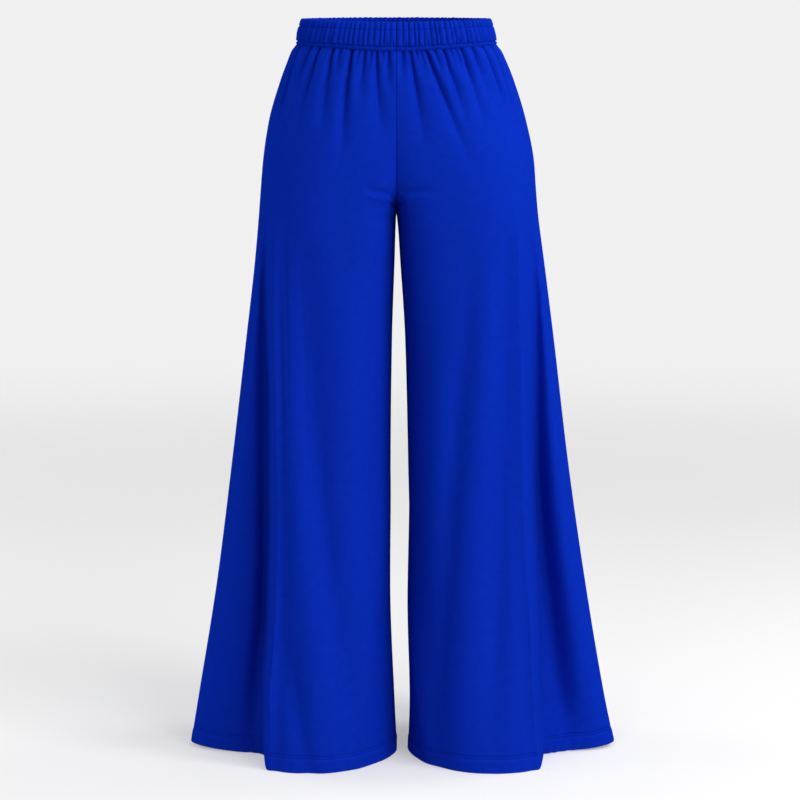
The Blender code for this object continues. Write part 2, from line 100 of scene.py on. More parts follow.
# The deep fold down each leg: the front steps back behind a ridge to a valley, and the side
# hangs as a flap. The valleys' places are distances behind the ridge.
SideFold = namedtuple("SideFold", "drop depth leftRidge rightRidge rise dip "
                                  "leftValley rightValley")
sideFold = (
    SideFold(0.2300, .000, .1690, .1715, .034, .000, .015, .009),
    SideFold(0.3000, .010, .1740, .1755, .033, .008, .015, .009),
    SideFold(0.3400, .018, .1765, .1765, .031, .013, .016, .009),
    SideFold(0.4000, .028, .1775, .1768, .029, .017, .017, .009),
    SideFold(0.5500, .041, .1815, .1735, .027, .020, .017, .010),
    SideFold(0.7000, .051, .1850, .1725, .025, .020, .021, .013),
    SideFold(0.8500, .060, .1935, .1765, .022, .019, .028, .015),
    SideFold(0.9500, .067, .1985, .1840, .018, .015, .034, .018),
    SideFold(1.0605, .074, .2065, .1870, .013, .003, .040, .022),
)
foldTurn = {
    "lead": 0.030,  # the cloth starts to round away this far before the ridge
    "leadShare": 0.10,
    "before": 0.003,
    "backShare": 0.70,  # the back's fold is shallower, and lies a little to one side
    "backShift": {"left": -0.012, "right": 0.007},
    "runOut": (1.9, 0.75),  # powers of the curve from the ridge out to the side seam
    "dipShare": {"left": (0.95, 1.30), "right": (1.25, 1.05)},  # high up and low down
    "dipChange": (0.50, 0.20),  # the first drop of the change, and its length
    "dipWidth": (0.004, 0.29),  # of the valley: a length and a share of its distance
    "swellShare": 0.50,  # the flap swells behind the valley
    "swellPlace": 0.60,  # shares of the way from the valley to the side seam
    "swellWidth": 0.27,
    "swellRoom": 0.010,
    "calm": 0.018,  # both end over this distance before the side seam
    "crest": {"left": 0.0085, "right": 0.0130},  # the cloth rises to a crest at the ridge
    "crestPlace": -0.004,
    "crestLead": 0.021,
    "crestEnd": 0.0045,
    "crestDepth": 0.012,  # the fold's depth at which the crest is whole
    "crestFade": (0.45, 0.95, 0.10),  # share lost near the hem, first drop and length
}

pocket = {  # the cloth is drawn in just above the crotch
    "top": 0.240,
    "bottom": 0.2765,
    "width": 0.0055,
    "depth": 0.016,
}


def linkObject(name, data):
    made = bpy.data.objects.new(name, data)
    bpy.context.scene.collection.objects.link(made)
    return made


def feed(tree, node, inputs):  # links or sets the inputs of a node
    for key, value in inputs.items():
        if isinstance(value, bpy.types.NodeSocket):
            tree.links.new(value, node.inputs[key])
        else:
            node.inputs[key].default_value = value


def addNode(tree, kind, inputs=None, **settings):
    node = tree.nodes.new(kind)
    for name, value in settings.items():
        setattr(node, name, value)
    feed(tree, node, inputs or {})
    return node


def unit(vectors):
    return vectors / np.linalg.norm(vectors, axis=-1, keepdims=True)


def bell(away):
    return np.exp(-0.5 * away ** 2)


def ease(value):
    held = np.clip(value, 0.0, 1.0)
    return held * held * (3.0 - 2.0 * held)


def smoothRead(places, values, place):  # a curve through a table's rows that never overshoots them
    place = float(np.clip(place, places[0], places[-1]))
    lengths = np.diff(places)
    slopes = np.diff(values) / lengths
    tangents = np.zeros(len(values))
    for row in range(1, len(values) - 1):
        before, after = slopes[row - 1], slopes[row]
        if before * after > 0.0:
            tangents[row] = 2.0 * before * after / (before + after)
    tangents[0], tangents[-1] = slopes[0], slopes[-1]
    row = int(np.clip(np.searchsorted(places, place) - 1, 0, len(lengths) - 1))
    part = (place - places[row]) / lengths[row]
    startBend = lengths[row] * tangents[row] * part * (1.0 - part) ** 2
    endBend = lengths[row] * tangents[row + 1] * part ** 2 * (part - 1.0)
    return float(values[row] + (values[row + 1] - values[row]) * ease(part) + startBend + endBend)


def readColumn(table, column, drop):
    return smoothRead(np.array([row.drop for row in table]),
                      np.array([getattr(row, column) for row in table]), drop)


def runLengths(points):
    return np.concatenate([[0.0], np.cumsum(np.hypot(*np.diff(points, axis=0).T))])


def readCurve(points, lengths, places):
    return np.stack([np.interp(places, lengths, points[:, axis]) for axis in (0, 1)], axis=1)


def curveNormals(points, lengths, places, reach):
    ahead = readCurve(points, lengths, np.minimum(places + reach, lengths[-1]))
    behind = readCurve(points, lengths, np.maximum(places - reach, 0.0))
    chords = ahead - behind
    return unit(np.stack([-chords[:, 1], chords[:, 0]], axis=1))


def foldRidge(side, face, drop):
    shift = foldTurn["backShift"][side] if face == "back" else 0.0
    return readColumn(sideFold, side + "Ridge", drop) + shift


def foldDepth(face, column, drop):  # nothing above the table's first row
    if drop <= sideFold[0].drop:
        return 0.0
    return readColumn(sideFold, column, drop) * (foldTurn["backShare"] if face == "back" else 1.0)


def valleyDip(side, face, drop, outer, across):  # less the swell of the flap behind the valley
    ridge = foldRidge(side, face, drop)
    valley = readColumn(sideFold, side + "Valley", drop)
    high, low = foldTurn["dipShare"][side]
    changeDrop, changeLength = foldTurn["dipChange"]
    dip = foldDepth(face, "dip", drop)
    dip *= high + (low - high) * float(ease((drop - changeDrop) / changeLength))
    dip *= ease((outer - across) / foldTurn["calm"])
    away = across - ridge - valley
    width = foldTurn["dipWidth"][0] + foldTurn["dipWidth"][1] * valley
    room = max(outer - ridge - valley, foldTurn["swellRoom"])
    swell = bell((away / room - foldTurn["swellPlace"]) / foldTurn["swellWidth"])
    return dip * (bell(away / width) - foldTurn["swellShare"] * swell)


def ridgeCrest(side, drop, depth, away):
    lost, fadeDrop, fadeLength = foldTurn["crestFade"]
    crest = foldTurn["crest"][side] * float(ease(depth / foldTurn["crestDepth"]))
    crest *= 1.0 - lost * float(ease((drop - fadeDrop) / fadeLength))
    risen = np.clip(1.0 + away / foldTurn["crestLead"], 0.0, 1.0) ** 2
    return crest * risen * np.exp(-np.maximum(away / foldTurn["crestEnd"], 0.0) ** 2)


def sideFoldStep(side, face, drop, outer, across):  # how far a row steps back at each place
    ridge = foldRidge(side, face, drop)
    depth = foldDepth(face, "depth", drop)
    rise = readColumn(sideFold, "rise", drop)
    leadIn = ease((across - ridge + foldTurn["lead"]) / foldTurn["lead"])
    turn = ease((across - ridge + foldTurn["before"]) / rise)
    past = np.clip((across - ridge) / (outer - ridge), 0.0, 1.0)
    runOut = (1.0 - past ** foldTurn["runOut"][0]) ** foldTurn["runOut"][1]
    share = foldTurn["leadShare"]
    step = depth * (share * leadIn + (1.0 - share) * turn) * runOut
    step += valleyDip(side, face, drop, outer, across)
    return step - ridgeCrest(side, drop, depth, across - ridge - foldTurn["crestPlace"])


def rowCurve(side, face, drop):  # from the inner seam to the side seam: places out and forward
    facing = -1.0 if face == "front" else 1.0
    outer = readColumn(sections, side + "Out", drop)
    depth = readColumn(sections, face, drop)
    sideSeam = facing * readColumn(sections, "side", drop)
    inseam = facing * readColumn(sections, "inseam", drop)
    inner = readColumn(sections, side + "In", drop)
    crown = max(inner, 0.0) + readColumn(sections, "crown", drop) * (outer - max(inner, 0.0))
    innerRound = readColumn(sections, "innerRound", drop)
    if face == "back":
        innerRound = 2.0 + (innerRound - 2.0) * cut["backHollow"]
    outerRound = readColumn(sections, face + "Round", drop)
    start = np.arccos(min(crown / (crown - inner), 1.0) ** (innerRound / 2))
    angles = np.linspace(start, np.pi / 2, cut["curveSteps"] + 1)
    rising = np.stack([crown - (crown - inner) * np.cos(angles) ** (2 / innerRound),
                       inseam + (depth - inseam) * np.sin(angles) ** (2 / innerRound)], axis=1)
    angles = np.linspace(0.0, np.pi / 2, cut["curveSteps"] + 1)
    falling = np.stack(
        [crown + (outer - crown) * np.sin(angles) ** (2 / outerRound),
         sideSeam + (depth - sideSeam) * np.cos(angles) ** (2 / outerRound)], axis=1)
    points = np.concatenate([rising, falling[1:]])
    points[:, 1] -= sideFoldStep(side, face, drop, outer, points[:, 0])
    part = np.clip((drop - pocket["top"]) / (pocket["bottom"] - pocket["top"]), 0.0, 1.0)
    drawn = pocket["depth"] * math.sin(math.pi * part)
    points[:, 1] -= drawn * bell(points[:, 0] / pocket["width"])
    return points


def lift(face, drop, across, outer):  # how far a point is above the level of its drop
    share = np.clip(across / outer, 0.0, 1.0)
    grown = ease((drop - cut["hemRiseStart"]) / (cut["hemDrop"] - cut["hemRiseStart"]))
    rise = cut["hemRise"] * grown * share ** cut["hemRisePower"]
    if face == "back":
        return rise
    below = max(drop - cut["bandDepth"], 0.0) / (cut["dipFadeDrop"] - cut["bandDepth"])
    dip = np.interp(drop, (0.0, cut["bandDepth"]), (cut["rimDip"], cut["seamDip"]))
    return rise - dip * (1.0 - ease(below)) * (1.0 - ease(share))


def placePoints(side, face, drop, flat, lifts):
    mirror = 1.0 if side == "left" else -1.0
    facing = -1.0 if face == "front" else 1.0
    return np.stack([mirror * flat[:, 0], facing * flat[:, 1],
                     cut["rimHeight"] - drop + lifts], axis=1)


# Gathers under the waistband, from the centre seam outwards: places are shares of the row, and
# the reach is the drop at which a gather ends.
Gather = namedtuple("Gather", "head foot reach depth")
gathers = {
    "left": (
        Gather(.054, .060, .072, .0030), Gather(.111, .165, .154, .0046),
        Gather(.155, .175, .065, .0024), Gather(.190, .215, .070, .0026),
        Gather(.230, .385, .178, .0052), Gather(.294, .325, .078, .0026),
        Gather(.361, .415, .138, .0044), Gather(.410, .430, .070, .0024),
        Gather(.456, .475, .072, .0024), Gather(.505, .520, .136, .0042),
        Gather(.605, .600, .098, .0038), Gather(.714, .735, .152, .0044),
        Gather(.825, .800, .160, .0036),
    ),
    "right": (
        Gather(.045, .024, .092, .0032), Gather(.088, .070, .062, .0022),
        Gather(.132, .060, .146, .0044), Gather(.172, .155, .066, .0026),
        Gather(.218, .193, .100, .0040), Gather(.260, .250, .066, .0024),
        Gather(.318, .263, .172, .0056), Gather(.405, .375, .070, .0026),
        Gather(.470, .395, .136, .0044), Gather(.585, .560, .148, .0046),
        Gather(.677, .665, .098, .0038), Gather(.820, .737, .150, .0046),
        Gather(.925, .860, .125, .0030),
    ),
}
gatherCut = {
    "narrow": 0.0021,  # half width of a gather's valley at the seam
    "wide": 0.0078,  # and at its foot
    "headShare": 0.70,  # share of the depth at the seam, which is whole at this drop under it
    "fillDrop": 0.005,
    "backShare": 0.92,
    # how far a panel's gathers are moved along its rows, in their own widths
    "shift": {"front_left": -0.9, "front_right": 0.9, "back_left": 0.0, "back_right": 0.0},
    "depthShare": 2.15,
    "reachShare": 1.30,  # the last of a gather fades out past its foot
    "keen": 0.55,  # share of the depth that lies in a keen crease along the valley
    "keenWidth": 0.55,
    "keenPower": 1.5,
    "fadePower": 1.5,
    "puckers": 34,  # short pinches right under the seam, a panel
    "puckerEnds": (0.02, 0.98),
    "puckerJitter": (0.15, 0.85),
    "puckerSize": (0.35, 1.0),
    "puckerDepth": 0.0016,
    "puckerWidth": 0.0013,
    "puckerReach": 0.017,
    "puckerLeast": 0.5,  # the reach of a pucker of no size, as a share
    "puckerSeed": {"front_left": 3, "front_right": 5, "back_left": 7, "back_right": 11},
}


def gathersOf(side, face):
    if face == "front":
        return gathers[side]
    seam = cut["bandDepth"]
    other = "left" if side == "right" else "right"
    return tuple(gather._replace(reach=seam + (gather.reach - seam) * gatherCut["backShare"])
                 for gather in gathers[other])


def gatherDents(side, face, drop, shares, length):
    total = np.zeros(len(shares))
    under = drop - cut["bandDepth"]
    full = ease(under / gatherCut["fillDrop"])
    filled = gatherCut["headShare"] + (1.0 - gatherCut["headShare"]) * full
    for gather in gathersOf(side, face):
        part = under / (gather.reach - cut["bandDepth"])
        faded = part / gatherCut["reachShare"]
        if faded >= 1.0:
            continue
        width = gatherCut["narrow"] + (gatherCut["wide"] - gatherCut["narrow"]) * part
        place = gather.head + (gather.foot - gather.head) * part
        place += gatherCut["shift"][face + "_" + side] * width / length
        away = (shares - place) * length / width
        keen = 1.0 / (1.0 + (away / gatherCut["keenWidth"]) ** 2) ** gatherCut["keenPower"]
        keenShare = gatherCut["keen"] * (1.0 - faded)
        depth = gather.depth * gatherCut["depthShare"] * filled
        depth = depth * (1.0 - faded ** 2) ** gatherCut["fadePower"]
        total += depth * ((1.0 - keenShare) * bell(away) + keenShare * keen)
    return total


def puckerDents(side, face, drop, shares, length):
    under = drop - cut["bandDepth"]
    total = np.zeros(len(shares))
    least, most = gatherCut["puckerLeast"], gatherCut["puckerSize"][1]
    if under > gatherCut["puckerReach"] * (least + most):
        return total
    draw = np.random.default_rng(gatherCut["puckerSeed"][face + "_" + side])
    count = gatherCut["puckers"]
    first, last = gatherCut["puckerEnds"]
    places = np.arange(count) + draw.uniform(*gatherCut["puckerJitter"], count)
    places = first + (last - first) * places / count
    for place, size in zip(places, draw.uniform(*gatherCut["puckerSize"], count)):
        part = under / (gatherCut["puckerReach"] * (least + size))
        if part < 1.0:
            away = (shares - place) * length / (gatherCut["puckerWidth"] * (1.0 + part))
            total += gatherCut["puckerDepth"] * size * (1.0 - ease(part)) * bell(away)
    return total


# Soft folds down the legs, and after them the thin streaks of drape beside the hip and the deep
# fold: places are distances from the centre, and a negative depth is a ridge.
Fold = namedtuple("Fold", "top bottom atTop atMiddle atBottom width depth")
folds = {
    "front_left": (
        Fold(0.295, 1.080, .111, .077, .053, .0110, .0060),
        Fold(0.285, 1.090, .131, .109, .086, .0180, -.0085),
        Fold(0.295, 1.080, .150, .148, .133, .0105, .0075),
        Fold(0.290, 0.480, .137, .139, .142, .0040, .0012),
        Fold(0.700, 1.150, .011, .032, .059, .0090, -.0055),
        Fold(0.420, 0.800, .060, .058, .052, .0110, -.0030),
        # streaks
        Fold(0.030, 0.150, .1310, .1590, .1790, .0022, -.0011),
        Fold(0.038, 0.150, .1180, .1420, .1600, .0024, -.0011),
        Fold(0.285, 1.075, .1770, .1865, .2015, .0020, -.0015),
        Fold(0.300, 0.580, .1580, .1570, .1560, .0026, .0011),
        Fold(0.560, 0.900, .1400, .1360, .1320, .0030, .0009),
        Fold(0.860, 1.050, .0260, .0330, .0440, .0026, -.0012),
    ),
    "front_right": (
        Fold(0.295, 1.090, .131, .105, .038, .0150, .0095),
        Fold(0.275, 1.060, .155, .139, .103, .0165, -.0075),
        Fold(0.300, 1.000, .163, .164, .163, .0050, .0020),
        Fold(0.850, 1.130, .158, .138, .110, .0095, .0055),
        Fold(0.640, 1.120, .018, .040, .056, .0100, -.0050),
        Fold(0.300, 0.640, .090, .074, .060, .0170, -.0030),
        # streaks
        Fold(0.030, 0.160, .1335, .1520, .1650, .0022, -.0011),
        Fold(0.280, 1.075, .1745, .1715, .1900, .0020, -.0015),
        Fold(0.300, 0.560, .1560, .1530, .1500, .0022, .0011),
        Fold(0.310, 0.620, .1630, .1610, .1590, .0021, .0010),
        Fold(0.330, 0.700, .1340, .1290, .1240, .0026, .0009),
        Fold(0.860, 1.060, .1720, .1700, .1660, .0030, .0011),
    ),
    "back_left": (
        Fold(0.310, 1.090, .128, .100, .045, .0160, .0095),
        Fold(0.300, 1.060, .150, .132, .104, .0170, -.0075),
        Fold(0.600, 1.220, .036, .050, .070, .0110, .0060),
        Fold(0.420, 0.900, .070, .064, .050, .0130, -.0040),
        # streaks
        Fold(0.030, 0.160, .1300, .1500, .1640, .0024, -.0010),
        Fold(0.320, 0.640, .1460, .1420, .1390, .0028, .0009),
    ),
    "back_right": (
        Fold(0.300, 1.080, .112, .082, .050, .0130, .0080),
        Fold(0.290, 1.090, .134, .112, .090, .0170, -.0080),
        Fold(0.310, 1.070, .152, .146, .130, .0110, .0065),
        Fold(0.560, 1.200, .030, .044, .062, .0110, -.0055),
        # streaks
        Fold(0.034, 0.150, .1240, .1450, .1610, .0024, -.0010),
        Fold(0.330, 0.600, .1500, .1480, .1460, .0028, .0009),
    ),
}
foldEnds = 0.7  # the lower, the sooner a fold is whole between its ends


def foldDents(side, face, drop, across):
    total = np.zeros(len(across))
    for fold in folds[face + "_" + side]:
        if not fold.top < drop < fold.bottom:
            continue
        part = (drop - fold.top) / (fold.bottom - fold.top)
        place = ((1 - part) * (1 - 2 * part) * fold.atTop + 4 * part * (1 - part) * fold.atMiddle
                 + part * (2 * part - 1) * fold.atBottom)
        grown = math.sin(math.pi * part) ** foldEnds
        total += fold.depth * grown * bell((across - place) / fold.width)
    return total


# Short creases that run across, near the crotch.
Crease = namedtuple("Crease", "innerDrop outerDrop innerShare outerShare width depth")
creases = {
    "front_left": (
        Crease(0.238, 0.232, .022, .200, .0040, .0030),
        Crease(0.252, 0.249, .014, .120, .0032, .0018),
    ),
    "front_right": (
        Crease(0.241, 0.231, .006, .185, .0040, .0032),
        Crease(0.256, 0.252, .006, .110, .0032, .0020),
    ),
    "back_left": (
        Crease(0.236, 0.243, .020, .210, .0046, .0018),
        Crease(0.262, 0.272, .020, .240, .0044, .0016),
    ),
    "back_right": (
        Crease(0.233, 0.241, .020, .190, .0046, .0018),
        Crease(0.259, 0.270, .020, .230, .0044, .0016),
    ),
}
creaseCut = {
    "ends": 0.8,
    "shoulder": 0.55,  # the cloth swells beside a crease, at this many widths from it
    "shoulderPlace": 2.4,
}


def creaseDents(side, face, drop, shares):
    total = np.zeros(len(shares))
    for crease in creases[face + "_" + side]:
        span = crease.outerShare - crease.innerShare
        part = np.clip((shares - crease.innerShare) / span, 0.0, 1.0)
        centre = crease.innerDrop + (crease.outerDrop - crease.innerDrop) * part
        away = (drop - centre) / crease.width
        dip = bell(away) - creaseCut["shoulder"] * bell(away - creaseCut["shoulderPlace"])
        total += crease.depth * np.sin(np.pi * part) ** creaseCut["ends"] * dip
    return total


# The hem: the cloth is turned up inside and held by two rows of stitches.
hem = {
    "turnUp": 0.0285,
    "stitchRows": (0.0200, 0.0240),  # above the edge
    "groove": 0.0010,
    "grooveWidth": 0.0007,
    "clear": 0.010,  # above the turn-up, nothing of the hem shows from here on
    "puff": 0.0009,  # the turn-up stands proud between the edge and the stitches
    "puffEase": 0.004,
    "ripples": {"front_left": 5, "front_right": 3, "back_left": 4, "back_right": 4},
    "rippleStart": {"front_left": 0.010, "front_right": 0.006,
                    "back_left": 0.012, "back_right": 0.008},
    "rippleSpacing": 0.0085,
    "rippleSpread": 0.12,  # each ripple is further from the last, and shallower
    "rippleFade": 0.14,
    "rippleWidth": 0.0024,
    "rippleDepth": 0.0026,
    "rippleEase": 0.006,
    "rippleSlant": 0.35,
    "calm": 0.010,  # share of the row in which the hem lies flat beside a seam
}


def hemDents(side, face, drop, across):
    above = cut["hemDrop"] - drop
    total = np.zeros(len(across))
    if above > hem["turnUp"] + hem["clear"]:
        return total
    for row in hem["stitchRows"]:
        total += hem["groove"] * bell((above - row) / hem["grooveWidth"])
    under = hem["stitchRows"][0] - above
    total -= hem["puff"] * ease(under / hem["puffEase"])
    panel = face + "_" + side
    ridge = foldRidge(side, face, drop)
    deep = hem["rippleDepth"] * ease(under / hem["rippleEase"])
    for index in range(hem["ripples"][panel]):
        along = index * hem["rippleSpacing"] * (1.0 + hem["rippleSpread"] * index)
        place = ridge + hem["rippleStart"][panel] + along + hem["rippleSlant"] * above
        faded = 1.0 - hem["rippleFade"] * index
        total += deep * faded * bell((across - place) / hem["rippleWidth"])
    return total


# How each leg panel's mesh is laid out.
shell = {
    "wall": 0.0013,
    "seamRound": 0.0017,  # radius at which a panel's edge turns in to its seam
    "allowance": (0.0015, 0.0040),  # what is sewn in behind a seam: its rows of points
    "leastRoom": 0.1,  # share of the allowance that is left where the leg closes
    "roundSteps": 4,
    "turnOver": 0.003,  # the centre seam's edge turns to the inseam's over this drop
    "topTurns": (60.0, 20.0),  # degrees, round the top edge and round the hem's edge
    "hemTurns": (0.0, 20.0, 40.0, 60.0, 78.0),
    "doubling": 0.0012,  # the wall is doubled over this height, at the top of the turn-up
    "columns": 184,
    "edgeCalm": 0.04,  # share of a row in which its dents fade out before a seam
    "settleTop": 0.231,  # between these drops the columns run on evenly past the crotch
    "settleBottom": 0.530,
    "settlePower": 6,
    "grainLevels": (0.18, 0.53, 1.06),  # drops at which a panel's middle is measured
}
Tuck = namedtuple("Tuck", "rise sink gathered wall")
tucks = (  # how a panel's top is sewn in behind the waistband, where its gathers flatten out
    Tuck(0.0030, 0.0024, 0.00, 0.0004), Tuck(0.0019, 0.0024, 0.20, 0.0005),
    Tuck(0.0010, 0.0023, 0.52, 0.0008), Tuck(0.0003, 0.0017, 0.84, 0.0012),
)
Stretch = namedtuple("Stretch", "top bottom step")
rowPlan = {  # levels of the rows, close together where the cloth has fine form
    "upper": (Stretch(0.0366, 0.0460, 0.0009), Stretch(0.0460, 0.0750, 0.0019),
              Stretch(0.0750, 0.1800, 0.0036), Stretch(0.1800, 0.2260, 0.0050),
              Stretch(0.2260, 0.2620, 0.0021), Stretch(0.2620, 0.2730, 0.0016)),
    "beforeClosing": (0.0033, 0.0021, 0.0012, 0.0006, 0.0002, 0.00004),
    "afterClosing": (0.0, 0.0008, 0.0020, 0.0040, 0.0065, 0.0095),
    "leg": Stretch(0.0140, 1.0260, 0.0078),  # its top is measured from the closing
    "hem": Stretch(1.0270, 0.0022, 0.0012),  # its bottom is measured up from the edge
    "stopShort": 0.3,  # a stretch ends this share of a step before its bottom
    "searchDepth": 0.010,
    "searchSteps": 40,
}


def closingDrop(side):  # where a leg's tube leaves the centre plane, found by halving
    low, high = cut["crotchDrop"] - rowPlan["searchDepth"], cut["crotchDrop"]
    for _ in range(rowPlan["searchSteps"]):
        middle = 0.5 * (low + high)
        if readColumn(sections, side + "In", middle) < 0.0:
            low = middle
        else:
            high = middle
    return high


def rowDrops(side):
    drops = []
    for top, bottom, step in rowPlan["upper"]:
        drops += list(np.arange(top, bottom - rowPlan["stopShort"] * step, step))
    closes = shell["closes"][side]
    drops += [closes - gap for gap in rowPlan["beforeClosing"]]
    drops += [closes + gap for gap in rowPlan["afterClosing"]]
    leg, edge = rowPlan["leg"], rowPlan["hem"]
    drops += list(np.arange(closes + leg.top, leg.bottom, leg.step))
    drops += list(np.arange(edge.top, cut["hemDrop"] - edge.bottom, edge.step))
    return drops


def settledShares(side, face, drop, even):
    top, here, bottom = [runLengths(rowCurve(side, face, level))[-1]
                         for level in (shell["settleTop"], drop, shell["settleBottom"])]
    part = (drop - shell["settleTop"]) / (shell["settleBottom"] - shell["settleTop"])
    steady = top + (bottom - top) * part
    fromSide = (1.0 - even) * steady + (1.0 - even) ** shell["settlePower"] * (here - steady)
    return 1.0 - fromSide / here


def seamCorner(corner, along, into, spare):  # allowance, then a rounded edge to the curve
    radius = shell["seamRound"]
    steps = np.linspace(0.0, 1.0, shell["roundSteps"] + 1)[:-1, None]
    rounded = corner + radius * ((1.0 - steps) ** 2 * into + steps ** 2 * along)
    flange = corner + (radius + np.array(shell["allowance"])[::-1, None] * spare) * into
    return np.concatenate([flange, rounded])


def fadeAtSeams(shares, calm):
    return ease(shares / calm) * ease((1.0 - shares) / calm)


def clothRow(side, face, drop, gathered=1.0):
    base = rowCurve(side, face, drop)
    lengths = runLengths(base)
    shares = lengths / lengths[-1]
    dents = (gatherDents(side, face, drop, shares, lengths[-1])
             + puckerDents(side, face, drop, shares, lengths[-1])
             + foldDents(side, face, drop, base[:, 0])
             + creaseDents(side, face, drop, shares))
    dents *= gathered * fadeAtSeams(shares, shell["edgeCalm"])
    dents += fadeAtSeams(shares, hem["calm"]) * hemDents(side, face, drop, base[:, 0])
    folded = base - dents[:, None] * curveNormals(base, lengths, lengths, cut["normalReach"])
    foldedLengths = runLengths(folded)
    even = np.linspace(0.0, 1.0, shell["columns"] + 1)
    if shell["settleTop"] < drop < shell["settleBottom"]:
        even = settledShares(side, face, drop, even)
    total = foldedLengths[-1]
    radius = shell["seamRound"]
    places = radius + np.interp(even, shares, foldedLengths) * (total - 2.0 * radius) / total
    body = readCurve(folded, foldedLengths, places)
    turnOver = shell["turnOver"]
    turned = float(ease((drop - shell["closes"][side] + turnOver) / turnOver))
    into = unit(np.array([turned, turned - 1.0]))
    room = (folded[0, 1] - base[-1, 1]) / shell["allowance"][-1] if turned < 1.0 else 1.0
    room = np.clip(room, shell["leastRoom"], 1.0)
    inner = seamCorner(folded[0], unit(body[0] - folded[0]), into, room)
    outer = seamCorner(folded[-1], unit(body[-1] - folded[-1]), np.array([-1.0, 0.0]), 1.0)
    flat = np.concatenate([inner, body, outer[::-1]])
    steps = np.zeros_like(flat)
    steps[1:-1] = flat[2:] - flat[:-2]
    steps[0], steps[-1] = flat[1] - flat[0], flat[-1] - flat[-2]
    across = unit(np.stack([-steps[:, 1], steps[:, 0]], axis=1))
    edge = len(inner)
    fromSide = total - np.concatenate([np.zeros(edge), places, np.full(edge, total)])
    return flat, across, base[-1, 0], fromSide


def panelRows(side, face):
    outers, inners, weaves = [], [], []
    wall = shell["wall"]
    doubled = 2.0 * wall
    grainLengths = [runLengths(rowCurve(side, face, level))[-1]
                    for level in shell["grainLevels"]]

    def addRow(drop, level, sunk, thickness, gathered=1.0):
        flat, across, outer, fromSide = clothRow(side, face, drop, gathered)
        lifts = lift(face, drop, flat[:, 0], outer)
        outers.append(placePoints(side, face, level, flat - sunk * across, lifts))
        inners.append(placePoints(side, face, level, flat - (thickness - sunk) * across, lifts))
        grain = 0.5 * np.interp(drop, shell["grainLevels"], grainLengths)
        weaves.append(np.stack([grain - fromSide, np.full(len(flat), -level)], axis=1))

    seam = cut["bandDepth"]
    for tuck in tucks:
        addRow(seam, seam - tuck.rise, tuck.sink, 2.0 * tuck.sink + tuck.wall, tuck.gathered)
    for turn in np.radians(shell["topTurns"]):
        level = seam + 0.5 * wall * (1.0 - math.sin(turn))
        addRow(level, level, 0.5 * wall * (1.0 - math.cos(turn)), wall)
    for drop in rowDrops(side):
        turnedUp = ease((hem["turnUp"] - (cut["hemDrop"] - drop)) / shell["doubling"])
        addRow(drop, drop, 0.0, wall + (doubled - wall) * turnedUp)
    for turn in np.radians(shell["hemTurns"]):
        level = cut["hemDrop"] - wall * (1.0 - math.sin(turn))
        addRow(level, level, wall * (1.0 - math.cos(turn)), doubled)
    return np.array(outers), np.array(inners), np.array(weaves)


def quads(rows):  # one face between each four neighbours of a table of point numbers
    faces = np.stack([rows[:-1, :-1], rows[1:, :-1], rows[1:, 1:], rows[:-1, 1:]], axis=-1)
    return faces.reshape(-1, 4)


def shellMesh(name, outers, inners, weaves, flipped):  # closes two sheets of points into a wall
    rows, columns = outers.shape[:2]
    count = rows * columns
    numbers = np.arange(count).reshape(rows, columns)
    sheet = quads(numbers)
    inside = sheet[:, ::-1] + count
    rim = np.concatenate([numbers[0, ::-1], numbers[1:, 0],
                          numbers[-1, 1:], numbers[-2:0:-1, -1]])
    following = np.roll(rim, -1)
    bridge = np.stack([following, rim, rim + count, following + count], axis=-1)
    faces = np.concatenate([sheet, inside, bridge])
    if flipped:
        faces = faces[:, ::-1]
    points = np.concatenate([outers.reshape(-1, 3), inners.reshape(-1, 3)])
    places = np.concatenate([weaves.reshape(-1, 2), weaves.reshape(-1, 2)])
    return quadObject(name, points, faces, places)


def quadObject(name, points, faces, places):
    mesh = bpy.data.meshes.new(name)
    mesh.vertices.add(len(points))
    mesh.vertices.foreach_set("co", points.astype(np.float32).ravel())
    mesh.loops.add(faces.size)
    mesh.loops.foreach_set("vertex_index", faces.astype(np.int32).ravel())
    mesh.polygons.add(len(faces))
    mesh.polygons.foreach_set("loop_start", np.arange(0, faces.size, 4, dtype=np.int32))
    mesh.update(calc_edges=True)
    mesh.validate()
    weave = mesh.uv_layers.new(name="weave")
    weave.data.foreach_set("uv", places[faces.ravel()].astype(np.float32).ravel())
    mesh.shade_smooth()
    mesh.set_sharp_from_angle(angle=math.radians(cut["sharpAngle"]))
    return linkObject(name, mesh)


# The waistband: a casing gathered on its elastic, in three bands of ribs.
band = {
    "columns": 600,
    "wall": 0.0030,
    "stitchDrops": (0.0098, 0.0305, 0.0352),  # at the header, and over and under the strip
    "ribs": (51, 112),  # of each half, in the casing and in the strip under it
    "ribRise": (0.0040, 0.0044, 0.0018),  # over the header, under it and in the strip
    "ribUneven": (0.34, 0.30),
    "ribLow": 0.35,  # the lowest rib is lower than the highest by this share
    "ribRound": 0.60,  # the lower, the wider the ribs and the narrower the dark valleys
    "ribChange": 0.0012,  # the ribs change over this height, at a row of stitches
    "insideRise": 0.55,
    "lean": 0.0040,  # the ribs move outwards by this share between the rim and the seam
    "forks": 11,
    "forkDrop": 0.019,  # where a forked rib starts to open, and over which height
    "forkLength": 0.009,
    "forkDepth": 0.75,
    "forkWidth": 0.10,
    "pinch": (0.25, 0.60, 0.60),  # share of the ribs that each row of stitches presses flat
    "pinchWidth": 0.0007,
    "rimRound": 0.0016,
    "rimSteps": 11,
    "rimLift": 0.32,  # share of the ribs' rise by which they lift the rim
    "endRound": 0.0013,
    "seeds": {"left": 20, "right": 40},
    "stitchEnds": (0.004, 0.996),
    "stitchSteps": 360,
}
